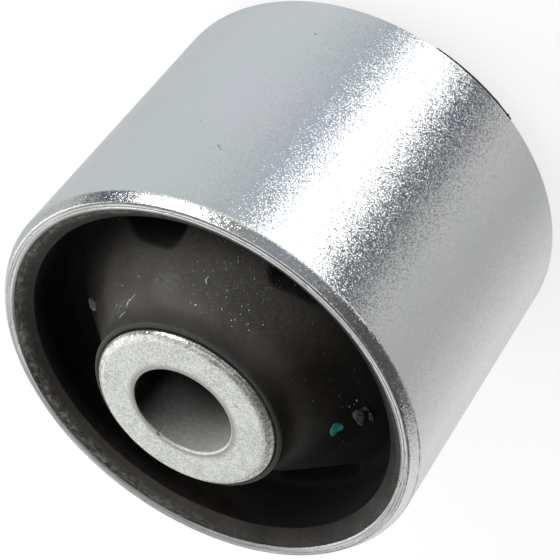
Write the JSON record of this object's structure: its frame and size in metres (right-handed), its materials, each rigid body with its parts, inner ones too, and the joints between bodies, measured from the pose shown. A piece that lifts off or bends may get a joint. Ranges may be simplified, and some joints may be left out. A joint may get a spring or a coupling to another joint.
{
  "type": "rubber metal bush",
  "caption": "Round suspension bush: steel sleeve, bonded rubber bell with ribs and relief pockets, and a longer steel tube for a bolt.",
  "frame": {"origin": "centre of the inner tube's lower end face", "axes": "+Z along the axis towards the end with the sleeve's lead-in, Y along the two ribs"},
  "size_m": [0.062, 0.062, 0.0556],
  "materials": {
    "sleeve_steel": "bright zinc plate",
    "rubber": "satin, as moulded",
    "tube_steel": "fine matt zinc plate"
  },
  "bodies": {
    "root": {"outer_sleeve": "sleeve_steel", "rubber_body": "rubber", "inner_tube": "tube_steel"}
  },
  "joints": []
}
